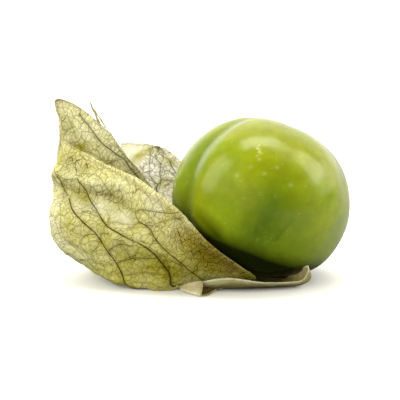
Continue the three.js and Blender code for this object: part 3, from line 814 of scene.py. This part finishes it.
def make_strip(name, ribs, veins, size, node, slot, material, inside, flat, seed, spots, paint,
               ragged, relief=1.0, across=(0, 1), folds=((), ()), shifts=()):
    """One strip of husk, or the part of it over a range of shares across it. `size` is the number
    of points each way, `flat` the whole strip laid flat, and `inside` is 1 where the surface's
    normal looks into the husk, else -1."""
    u, v = strip_shares(across, size, ragged, seed)
    base = over_ribs(ribs, u, v)
    grid = press_folds(base, *folds)
    for centre, radius, shift in shifts:
        grid = grid + near(grid, centre, radius)[..., None] * np.array(shift)
    shape = grid.shape[:2]
    points = base.reshape(-1, 3)
    distance, values = near_lines(points, vein_lines(ribs, veins))
    width, tone = values.T
    width = 0.04 + width * (0.85 + 0.3 * noise(points, 0.8, seed + 5))
    vein = (tone * bump(distance, width * 0.5)).reshape(shape)
    # Nothing swells at the base, where the strip is narrow.
    swell = swelling(points, distance, seed).reshape(shape)
    swell *= relief * np.clip(v / 0.2, 0, 1)
    middle = grid - inside * grid_normals(grid) * swell[..., None]
    # The sheet doesn't dip into the table, and has room under it for its veins.
    half = HUSK_THICKNESS / 2
    middle[..., 2] = np.maximum(middle[..., 2], half + VEIN_ROOM)
    # The veins stand out on the outer face, and a little on the inner one.
    outer = half + VEIN_RELIEF * vein
    inner = half + 0.3 * VEIN_RELIEF * vein
    normal = grid_normals(middle)
    low = middle - normal * (outer if inside > 0 else inner)[..., None]
    high = middle + normal * (inner if inside > 0 else outer)[..., None]
    both = np.concatenate([low.reshape(-1, 3), high.reshape(-1, 3)])
    both[:, 2] = np.maximum(both[:, 2], TABLE_GAP)
    sheet = np.concatenate([read_table(flat, u, v) * MM, np.zeros((*shape, 1))], -1)
    masks = {
        "ridge": np.clip(distance - width / 2, -0.3, 1.5).reshape(shape),
        "tone": tone.reshape(shape),
        **painted(grid, spots),
    }
    for key, extra in paint(grid, u, v).items():
        masks[key] = np.clip(masks.get(key, 0) + extra, 0, 1)
    masks = {key: np.tile(value.ravel(), 2) for key, value in masks.items()}
    masks["sheet"] = np.tile(sheet.reshape(-1, 3), (2, 1))
    add_piece(name, both, sheet_faces(*shape), node, slot, material, masks)


FRONT_SPOTS = {
    # Pale spots: partly bleached tissue, and partly painted light, most on the facet below the crease
    # that faces the lamps.
    "bleach": [
        (-37.2, -3.2, 21, 4, 0.55), (-37.6, -5.5, 15, 3.6, 0.65), (-31.2, -8.6, 20.4, 2.4, 0.5),
        (-27, -9, 20.8, 1.8, 0.6), (-24.4, -10, 19.8, 2.2, 0.6), (-20.8, -11.4, 18.4, 2.4, 0.65),
        (-18.2, -12.2, 17.4, 1.8, 0.5), (-26, -10, 27, 3.4, 0.4), (-19.1, -10.5, 26, 3, 0.35),
        (-32, -6.6, 29, 3, 0.3), (-12.6, -13.8, 23, 3, 0.5), (-10.6, -14.8, 20, 2.4, 0.45),
        (-35.5, -7, 9, 3.4, 0.45), (-16, -15, 13.5, 2.5, 0.25), (-36.5, -2, 26.5, 3, 0.6),
        (-30.5, -9.8, 6, 2.6, 0.5), (-37, -4.5, 8, 3, 0.4),
    ],
    # The net fades where the light is painted on the facet below the crease.
    "plain": [
        (-24.4, -10, 19.8, 2.2, 0.4), (-20.8, -11.4, 18.4, 2.2, 0.5), (-18, -12.2, 17, 2, 0.3),
    ],
    "green": [
        (-29.1, -7.9, 22.4, 1.3, 0.8), (-32, -10.2, 15.6, 2.6, 0.3), (-27, -10, 22.5, 1.2, 0.4),
        (-17.5, -16, 12, 3.6, 0.2), (-19.5, -15, 8, 3.4, 0.15), (-13, -16.5, 11, 3.5, 0.25),
        (-16, -15.3, 5.5, 3.4, 0.25), (-10, -15.6, 6, 3.4, 0.4), (-23.5, -13, 6, 3, 0.15),
        (-6.3, -17.6, 7.5, 4, 0.4), (0, -18, 7, 4, 0.4),
    ],
    # Painted shade along the crease under the fold, and low down near the berry.
    "hollow": [
        (-35.2, -5, 24.3, 1.2, 0.5), (-32.4, -6.4, 23.8, 1.3, 0.5), (-30, -7.6, 23.5, 1.3, 0.5),
        (-27.6, -8.8, 23.6, 1.3, 0.55), (-25.4, -9.9, 23.6, 1.3, 0.6), (-23, -10.6, 23.3, 1.3, 0.6),
        (-20.8, -11.4, 22.9, 1.3, 0.5), (-19.4, -12, 21.8, 1.2, 0.4), (-9, -15.6, 8, 1.6, 0.5),
        (-33, -4, 31.4, 2.2, 0.45), (-29.6, -6, 31, 2.4, 0.5), (-26.3, -8, 28.6, 1.8, 0.3),
        (-9.4, -17, 15.5, 3.4, 0.2), (-4.6, -18, 15.4, 3.2, 0.3), (-0.5, -19.1, 11.5, 4.4, 0.45),
        (3.7, -18.4, 8.1, 5, 0.5), (-7.7, -15.7, 5, 3, 0.25),
    ],
    "brown": [
        (-15.2, -13, 17.3, 1.2, 0.25), (-12.6, -15.3, 16.9, 1.4, 0.3), (-5.6, -18, 15.5, 2, 0.3),
        (-20.5, -14.8, 12, 1.4, 0.3), (8, -18.6, 7, 3, 0.35), (-24, -10.5, 23.2, 1, 0.3),
    ],
}
REAR_SPOTS = {
    "green": [
        (-31.4, 8, 32.6, 2.2, 0.6), (-34, 7, 38, 2.4, 0.3), (-34.5, 8, 32.4, 1.6, 0.35),
        (-27, 9.6, 29.5, 3, 0.3), (-22, 11.4, 26, 3, 0.3),
    ],
    # Pale spots: partly bleached tissue, and partly painted light on the sepal's lower middle, which
    # is in shade.
    "bleach": [
        (-36.6, 7, 29.6, 3, 0.6), (-30.4, 7, 37.6, 2.6, 0.55), (-34, 7.4, 35, 2.2, 0.4),
        (-27.5, 8, 36, 2.5, 0.35), (-36, 6.5, 40, 2, 0.35), (-36.3, 5, 43.5, 2.4, 0.6),
        (-24, 9.5, 34, 2.5, 0.3), (-22.8, 9.8, 31.5, 3, 0.4), (-19.5, 11.5, 28, 2.5, 0.3),
    ],
    "brown": [
        (-37.2, 4.2, 45.8, 1, 0.7), (-32.4, 6.9, 36.5, 0.8, 0.25), (-33.5, 7.5, 33.6, 0.7, 0.25),
        (-21, 11.8, 25, 1.6, 0.35), (-23.5, 10.6, 28, 1.4, 0.25),
    ],
    # Painted shade low inside the pouch.
    "hollow": [(-20, 12, 24.5, 3.4, 0.2)],
}
SIDE_SPOTS = {
    "plain": [
        (-19.5, 15.6, 30.5, 2.6, 1.0), (-17.4, 16.3, 28.6, 2, 1.0), (-18.6, 17, 25, 2.4, 0.8),
        (-14.8, 16, 30.8, 1, 0.5),
    ],
    "green": [
        (-18.2, 16.5, 27.1, 1.3, 0.3), (-17.2, 16.4, 28, 1.4, 0.45), (-16, 16.3, 29, 1.4, 0.5),
        (-14.4, 16.1, 30.2, 1.3, 0.4), (-13.4, 16, 30.8, 1.3, 0.3), (-11.6, 15.9, 31.3, 1.6, 0.4),
        (-9.2, 17.8, 27.6, 2.6, 0.4), (-7.6, 19.1, 27, 1.6, 0.45), (-10, 18.8, 21, 2.2, 0.45),
    ],
    "brown": [(-11.2, 15.9, 31.6, 0.9, 0.9), (-10.2, 16.6, 30.6, 0.9, 0.4)],
    "bleach": [(-12.5, 18, 25.5, 4, 1.0), (-19.5, 15.8, 30.5, 3, 0.3)],
    # Painted shade at the lobe's low edge beside the berry.
    "hollow": [(-6.2, 21.4, 20.5, 2.2, 0.3)],
}
LOWER_SPOTS = {
    "plain": [
        (2, -16, 2, 6, 0.8), (10, -15, 2, 6, 0.8), (18, -15, 1.6, 6, 0.8), (25, -14, 2, 5, 0.7),
    ],
    "green": [(28.2, -14.6, 5, 1.4, 0.7), (6, -16.4, 1.6, 3, 0.12)],
    # Brown: aged tissue, and the strong spot at the left end is painted shade over the pocket.
    "brown": [(20, -14.6, 1.4, 1.8, 0.25), (1.5, -16.6, 1, 1.6, 0.6), (24, -13, 1.2, 1.6, 0.2)],
    "bleach": [(4, -17.2, 2.8, 3, 0.3), (12, -16.4, 3, 3, 0.2)],
}
CORNER_SPOTS = {
    "plain": [(-1, -19, 1.5, 4, 0.5)],
    "bleach": [(-1.5, -19, 1.5, 3, 0.6)],
    "brown": [(0.4, -21.4, 0.2, 0.9, 0.3)],
}


# Each of these paints a strip's rims: it gives masks to add to those of the spots, from the
# strip's points and their shares across and along it.
def front_rim(points, across, along):
    """The torn edge beside the berry is dry and pale with a brown line inside it, and low down it
    is greener and darker with painted shade. The whole pouch is greener towards the table, and
    most so near the berry."""
    low = np.clip((18 - points[..., 2]) / 13, 0, 1)
    near_berry = np.clip((points[..., 0] + 34) / 14, 0, 1)
    low_rim = 0.4 * bump(across - 0.03, 0.04) * np.clip((0.55 - along) / 0.1, 0, 1)
    return {
        "bleach": 0.3 * bump(across, 0.008) * (along > 0.2),
        "hollow": 0.32 * bump(across - 0.03, 0.035) * np.clip((0.5 - along) / 0.12, 0, 1),
        "brown": 0.35 * bump(across - 0.02, 0.008) * (along > 0.2),
        "green": 0.4 * low * near_berry + low_rim,
    }


def rear_rim(points, across, along):
    """Both torn edges of the rear sepal are brown."""
    return {"brown": 0.55 * bump(1 - along, 0.008) + 0.4 * bump(1 - across, 0.012) * (along > 0.5)}


def side_rim(points, across, along):
    """A thin brown rim, and greener tissue low down."""
    return {"brown": 0.35 * bump(1 - along, 0.008), "green": 0.3 * (along < 0.45)}


def pale_rim(points, across, along):
    """Pale at the torn rim, and browner towards the table, partly with painted shade."""
    return {
        "bleach": 0.75 * bump(1 - along, 0.04) + 0.35 * bump(1 - along, 0.14),
        "brown": 0.3 * np.clip((0.86 - along) / 0.2, 0, 1),
    }


pouch_folds = (
    [(depth, width, smooth(line, np.linspace(0, 1, 41))) for depth, width, line in POUCH_FOLDS],
    [(depth, width, on_strip(POUCH_RIBS, line)) for depth, width, line in POUCH_CREASES],
)
pouch_flat = lay_flat(POUCH_RIBS)
FRONT = (FRONT_VEINS, HUSK_OUTER, FRONT_SPOTS, front_rim)
REAR = (REAR_VEINS, HUSK_INNER, REAR_SPOTS, rear_rim)
for name, across, size, (veins, tissue, spots, paint), ragged in (
    ("husk_front_sepal", (0, 0.25), (152, 320), FRONT, 0),
    ("husk_left_sepal", (0.25, 0.5), (132, 370), FRONT, 0),
    ("husk_rear_sepal", (0.5, 1), (172, 285), REAR, 0.006),
):
    make_strip(
        name, POUCH_RIBS, veins, size, "husk_pouch", "husk", tissue, 1, pouch_flat, seed=3,
        spots=spots, paint=paint, ragged=ragged, across=across, folds=pouch_folds,
        shifts=POUCH_SHIFTS,
    )
make_strip(
    "husk_side_lobe_skin", SIDE_RIBS, SIDE_VEINS, (160, 240), "husk_side_lobe", "husk_thin",
    HUSK_BLEACHED, 1, lay_flat(SIDE_RIBS), seed=9, spots=SIDE_SPOTS, paint=side_rim,
    ragged=0.008, relief=0.8,
)
for name, ribs, veins, size, tissue, spots, ragged, relief in (
    ("lobe_skin", LOWER_RIBS, LOWER_VEINS, (240, 90), HUSK_TAN, LOWER_SPOTS, 0.004, 0.25),
    ("corner", CORNER_RIBS, CORNER_VEINS, (60, 40), HUSK_TAN, CORNER_SPOTS, 0.02, 0.25),
    ("pocket", POCKET_RIBS, CORNER_VEINS, (50, 30), HUSK_SHADED, {}, 0.02, 0.2),
):
    make_strip(
        f"husk_lower_{name}", ribs, veins, size, "husk_lower_lobe", "husk_dry", tissue, -1,
        lay_flat(ribs), seed=13, spots=spots, paint=pale_rim, ragged=ragged, relief=relief,
    )
shares = np.linspace(0, 1, 60)
edge = tube(smooth(ROLLED_EDGE, shares), 0.17 - 0.06 * shares)
add_piece("husk_lower_rolled_edge", *edge, "husk_lower_lobe", "husk_dry", HUSK_TAN)

# Two strands of a vein that tore loose from the pouch's rear rim. They stay joined at the rim and
# at the free end, and part a little in between.
for name, radius, line in (
    ("thick", 0.34, [(-26.5, 7.7, 38.9), (-27, 7.2, 40.8), (-27.9, 6.8, 42.8), (-28.6, 6.5, 44.8)]),
    ("thin", 0.22, [(-24.8, 8.1, 37.9), (-26.1, 7.4, 40.4), (-27.3, 6.9, 42.2), (-28.4, 6.5, 44.3)]),
):
    body = smooth(line, shares)
    body += np.stack([noise(body, 1.2, seed) for seed in (71, 72, 73)], -1) * 0.12
    radii = radius * (1.15 - 0.55 * shares) * (1 + 0.25 * noise(body, 0.8, 74))
    strand, faces = tube(body, radii)
    aged = np.full(len(strand), 0.3)
    masks = {"bleach": aged, "brown": aged}
    add_piece(f"loose_vein_{name}", strand, faces, None, "husk", HUSK_TAN, masks)

# ---------------------------------------------------------------- berry


def turned(longitude, centre):
    """Degrees from a longitude to the nearest way round, from -180 to 180."""
    return (longitude - centre + 180) % 360 - 180


# In these functions `angle` is the angle from the blossom end and `longitude` goes round the berry,
# both in degrees. `sine` is the sine of `angle`, and `ray` is the direction from the centre.
def berry_hollows(angle, longitude, sine):
    """The depth in mm of the berry's grooves, and that of its sharp creases."""
    groove = np.zeros(len(angle))
    for centre, depth, width in BERRY_GROOVES:
        groove += depth * bump(turned(longitude, centre), width) * np.abs(sine) ** 1.2
    crease = np.zeros(len(angle))
    for centre, drift, start, stop, depth, width in BERRY_CREASES:
        middle, half = (start + stop) / 2, (stop - start) / 2
        bend = centre + drift * (angle - middle) / half
        window = np.clip(1 - np.abs((angle - middle) / half) ** 3, 0, 1)
        crease += depth * window * bump(turned(longitude, bend), width)
    return groove, crease


def berry_dots(angle, longitude, sine, ray):
    """Pale dots: five larger ones high on the front, and small ones scattered all over."""
    draws = np.random.default_rng(17)
    dots = np.zeros(len(angle))
    for middle, centre in [(78, 250), (79, 260), (80, 278), (72, 266), (86, 244)]:
        apart = np.hypot(angle - middle, turned(longitude, centre) * sine)
        dots += 0.2 * bump(apart, 1.3)
    for _ in range(SMALL_DOTS):
        spot = ray[draws.integers(len(ray))]
        size = draws.uniform(0.3, 0.7)
        apart = np.degrees(np.linalg.norm(ray - spot, axis=1))
        dots += draws.uniform(0.05, 0.16) * bump(apart, size)
    return dots


def berry_streak(angle, longitude, sine, points):
    """Above the larger dots wanders a short streak of cork, broken up along its way."""
    wander = turned(longitude, 251) * sine - 0.4 * (angle - 66) + 1.6 * noise(points, 1.1, 85)
    streak = bump(wander, 0.8) * bump(angle - 66, 5)
    return streak * np.clip(0.5 + 1.6 * noise(points, 0.7, 83), 0, 1)


def berry_valley(angle, longitude):
    """How much painted shade darkens the skin in the wide valley down the front."""
    valley = np.zeros(len(angle))
    for dark, centre, width, middle, half in BERRY_VALLEYS:
        valley += dark * bump(turned(longitude, centre), width) * bump(angle - middle, half)
    return valley


def berry_painted_shade(angle, longitude, ray, points):
    """Painted shade on the skin: darkest round the stem end, on the underside that the husk shades,
    and next to it a painted shadow beside the pouch's torn rim and painted shade in the deep groove
    where it goes behind the husk."""
    stem_side = -ray[:, 2] - 0.4 * ray[:, 0]
    painted_shade = 0.97 * np.clip((stem_side - 0.265) / 0.23, 0, 1) ** 1.1
    deep = 0.45 * bump(turned(longitude, 207), 14) * bump(angle - 114, 14)
    # A painted shadow falls beside the pouch's torn rim.
    rim = on_strip(POUCH_RIBS, [(0, along) for along in np.linspace(0.25, 0.95, 15)])
    apart, reach = near_lines(points, [(rim, np.linspace(4.7, 4.6, len(rim)))])
    rim_shadow = 0.8 * np.clip((reach - apart) / 3.2, 0, 1) ** 1.3
    return np.maximum(painted_shade, np.maximum(rim_shadow, deep))


def berry_shape(rings, sides):
    """Points of the berry, from its stem end up to its blossom end, and the masks of its skin."""
    polar = np.linspace(math.pi, 0, rings + 2)[1:-1, None]
    around = np.linspace(0, 2 * math.pi, sides, endpoint=False)[None, :]
    polar = np.concatenate([[math.pi], np.repeat(polar, sides), [0.0]])
    around = np.concatenate([[0.0], np.tile(around.ravel(), rings), [0.0]])
    angle, longitude = np.degrees(polar), np.degrees(around)
    sine, cosine = np.sin(polar), np.cos(polar)
    right = np.cross(BLOSSOM_AXIS, [0, -1, 0])
    right /= np.linalg.norm(right)
    back = np.cross(BLOSSOM_AXIS, right)
    ray = (
        cosine[:, None] * BLOSSOM_AXIS
        + (sine * np.cos(around))[:, None] * right
        + (sine * np.sin(around))[:, None] * back
    )
    radius = BERRY_EQUATOR * BERRY_POLE / np.hypot(BERRY_POLE * sine, BERRY_EQUATOR * cosine)
    radius -= BLOSSOM_DIMPLE[0] * bump(angle, BLOSSOM_DIMPLE[1])
    radius -= STEM_DIMPLE[0] * bump(180 - angle, STEM_DIMPLE[1])
    groove, crease = berry_hollows(angle, longitude, sine)
    off_side = np.degrees(np.arccos(np.clip(ray @ LOW_SIDE, -1, 1)))
    flat = LOW_FLAT[0] * bump(off_side, LOW_FLAT[1])
    uneven = 0.16 * noise(ray * 23, 9, 81) + 0.03 * noise(ray * 23, 2.5, 82)
    points = BERRY_CENTRE + ray * (radius - groove - crease - flat + uneven)[:, None]
    # The blossom scar is a small cork button in the dimple.
    points += BLOSSOM_AXIS * (0.35 * bump(angle, 1.6) - 0.3 * bump(angle - 3.2, 1.2))[:, None]
    below = FLATTEN_BELOW - points[:, 2]
    pressed = FLATTEN_BELOW - FLATTEN_DEPTH * np.tanh(below / FLATTEN_DEPTH)
    points[:, 2] = np.where(below > 0, pressed, points[:, 2])
    # Painted shade in the grooves, the creases and the valley down the front.
    shade = 0.4 * groove + 0.9 * crease + berry_valley(angle, longitude)
    masks = {
        "groove": np.clip(shade, 0, 1),
        # Painted shade round the stem end, beside the pouch's rim and in the deep groove.
        "painted_shade": berry_painted_shade(angle, longitude, ray, points),
        "cork": np.clip(berry_streak(angle, longitude, sine, points), 0, 1),
        "dots": np.clip(berry_dots(angle, longitude, sine, ray), 0, 1),
        # Yellower round the blossom end: partly ripening, partly painted light from above.
        "lit_shoulder": np.clip(0.8 * bump(angle, 78) + 0.3 * noise(points, 8, 84), 0, 1),
        "scar": np.clip(1.2 * bump(angle, 2.3), 0, 1),
    }
    return points, masks


BERRY_RINGS, BERRY_SIDES = 170, 320
berry_points, berry_masks = berry_shape(BERRY_RINGS, BERRY_SIDES)
berry_faces = ring_faces(BERRY_RINGS, BERRY_SIDES)
add_piece("berry_skin_body", berry_points, berry_faces, "berry", "berry_skin", SKIN, berry_masks)

# ---------------------------------------------------------------- calyx base


def calyx_points(rings=40, sides=160):
    """A disc with ten low ribs that run out into the husk, and the stalk's scar underneath."""
    profile = [(0.4, 0.45), (1.4, 0.35), (1.9, 0.02), (3.3, 0.02), (3.8, 0.4), (3.6, 0.9),
               (2.4, 1.1), (1.6, 1.6), (1.2, 1.9), (0.5, 1.9)]
    line = smooth(profile, np.linspace(0, 1, rings))
    turn = np.linspace(0, 2 * math.pi, sides, endpoint=False)
    radius, height = line[:, :1], np.maximum(line[:, 1:], 0.01)
    ribs = 0.5 + 0.5 * np.cos(10 * turn)[None, :]
    radius = radius * (1 - 0.06 * (1 - ribs) * np.clip(radius - 2, 0, 1))
    height = height + 0.14 * ribs * np.clip(radius - 1.8, 0, 1) * (height > 0.6)
    x = CALYX_CENTRE[0] + radius * np.cos(turn)
    y = CALYX_CENTRE[1] + radius * np.sin(turn)
    body = np.stack([x, y, height], -1).reshape(-1, 3)
    ends = np.array([[*CALYX_CENTRE, 0.5], [*CALYX_CENTRE, 1.85]])
    return np.concatenate([ends[:1], body, ends[1:]]), ring_faces(rings, sides)


base_points, base_faces = calyx_points()
add_piece(
    "calyx_base_ribs", base_points, base_faces, "calyx_base", "calyx_wood", HUSK_TAN,
    {"brown": np.full(len(base_points), 0.4)},
)

# ---------------------------------------------------------------- stage, light and camera


def floor_material():
    """Plain white card. The camera sees a painted grey shadow on it near the object and painted deep
    shade under the berry, and sees it brighter further off, up to the studio's white wall. Seen
    from the object it glows from behind and from the right and is dull in front, so what it throws
    back on the object is weak from the front and strong from behind and from the right."""
    material, add = new_material("white card floor")
    where = add("NewGeometry", out="Position")
    parts = add("SeparateXYZ", [where]).node.outputs
    # Seen from the object the card glows behind and to the right: painted light thrown back.
    behind = add("MapRange", [parts["Y"], -0.02, 0.12, 0.0, 1.0])
    right = add("MapRange", [parts["X"], 0.026, 0.06, 0.0, 0.8])
    lit_part = add("Math", [behind, right], operation="MAXIMUM")
    dull = add("BsdfDiffuse", [(0.1, 0.1, 0.1, 1)])
    bright = add("Emission", [(1, 1, 1, 1), 0.8])
    thrown = add("MixShader", [lit_part, dull, bright])
    # Far off the card meets the white wall without an edge.
    from_berry = add("VectorMath", [where, tuple(place((11, 0, 0)))], "Value",
                     operation="DISTANCE")
    lifted = add("MapRange", [from_berry, 0.2, 0.7, 0.22, 1.2])
    card = add("BsdfDiffuse", [(0.8, 0.8, 0.8, 1)])
    glow = add("Emission", [(1, 1, 0.985, 1), lifted])
    seen_card = add("AddShader", [card, glow])
    # A painted shadow all round the object: the card is a little greyer, in a patch longer than it is
    # deep.
    from_middle = add("VectorMath", [where, tuple(place((-0.5, -2, 0)))], operation="SUBTRACT")
    drawn_in = add("VectorMath", [from_middle, (0.6, 1, 1)], operation="MULTIPLY")
    away = add("VectorMath", [drawn_in], "Value", operation="LENGTH")
    beyond = add("MapRange", [away, 0.016, 0.034, 0.0, 1.0], interpolation_type="SMOOTHSTEP")
    shadow_card = add("BsdfDiffuse", [(0.89, 0.89, 0.88, 1)])
    seen_card = add("MixShader", [beyond, shadow_card, seen_card])
    # Painted deep shade on the card under the berry.
    clear_of = add("MapRange", [from_berry, 0.012, 0.018, 0.0, 1.0])
    shade = add("BsdfDiffuse", [(0.02, 0.02, 0.015, 1)])
    seen_card = add("MixShader", [clear_of, shade, seen_card])
    seen = add("LightPath", out="Is Camera Ray")
    add("OutputMaterial", [add("MixShader", [seen, thrown, seen_card])])
    return material


bpy.ops.mesh.primitive_plane_add(size=6, location=(0, 0, 0))
floor = bpy.context.object
floor.name = "floor"
floor.data.materials.append(floor_material())


def studio_world():
    """A white wall behind the object and a dim room in front of it."""
    world = bpy.data.worlds.new("studio")
    bpy.context.scene.world = world
    world.use_nodes = True
    world.node_tree.nodes.clear()
    add = partial(add_node, world.node_tree)
    depth = add("SeparateXYZ", [add("TexCoord", out="Generated")], "Y")
    wall = add("MapRange", [depth, 0.32, 0.7, 0.08, 1.4])
    room = add("Background", [(1, 1, 1, 1), wall])
    white = add("Background", [(1, 1, 1, 1), 1.2])
    seen = add("LightPath", out="Is Camera Ray")
    add("OutputWorld", [add("MixShader", [seen, room, white])])


studio_world()
bpy.context.scene.view_settings.view_transform = "Standard"

TARGET = Vector(place((0, 0, 20.2)))
LAMP_DISTANCE = 0.7
LAMP_COLOR = (1, 0.98, 0.88)
EYE_DISTANCE = 0.45
EYE_TILT = math.radians(12)


def add_softbox(name, azimuth, elevation, width, height, radiance, along=(1, 0, 0), shine=True):
    """An area light that looks at the object. Azimuth 0 is behind the camera and 90 is the right.
    Its width runs along `along`. Without `shine` it leaves no highlights."""
    light = bpy.data.lights.new(name, "AREA")
    light.shape = "RECTANGLE"
    light.size = width
    light.size_y = height
    light.energy = radiance * math.pi * width * height
    light.color = LAMP_COLOR
    lamp = bpy.data.objects.new(name, light)
    round_by, up_by = math.radians(azimuth), math.radians(elevation)
    level = math.cos(up_by)
    away = Vector((math.sin(round_by) * level, -math.cos(round_by) * level, math.sin(up_by)))
    side = (Vector(along) - away * away.dot(Vector(along))).normalized()
    turn = Matrix((side, away.cross(side), away)).transposed()
    lamp.matrix_world = Matrix.Translation(TARGET + away * LAMP_DISTANCE) @ turn.to_4x4()
    lamp.visible_camera = False
    lamp.visible_glossy = shine
    bpy.context.scene.collection.objects.link(lamp)


add_softbox("strip above", 152, 79, 0.5, 0.24, 6.6, along=(0.95, 0, -0.25))
add_softbox("softbox above right", 92, 41, 0.5, 0.36, 4.2, along=(0.7, 0, -0.7))
add_softbox("softbox above", 0, 88, 0.9, 0.5, 0.15)
add_softbox("softbox right", 102, 20, 0.5, 0.3, 1.6, along=(0, 1, 0))
add_softbox("softbox left", -82, 34, 0.34, 0.6, 3.0, along=(0, 1, 0))
add_softbox("softbox front left", -50, 40, 0.5, 0.5, 0.5)
add_softbox("fill in front", -28, 10, 1.0, 0.7, 3.9, shine=False)
add_softbox("fill on the right", 78, 5, 0.6, 0.6, 3.2, shine=False)
add_softbox("fill behind left", -145, 28, 0.8, 0.8, 3.1, shine=False)

camera = bpy.data.cameras.new("camera")
camera.sensor_width = 36
camera.lens = 155.8
camera.clip_start = 0.01
camera.clip_end = 20
eye = bpy.data.objects.new("camera", camera)
eye.location = TARGET + Vector((0, -math.cos(EYE_TILT), math.sin(EYE_TILT))) * EYE_DISTANCE
eye.rotation_euler = (math.radians(90) - EYE_TILT, 0, 0)
bpy.context.scene.collection.objects.link(eye)
bpy.context.scene.camera = eye
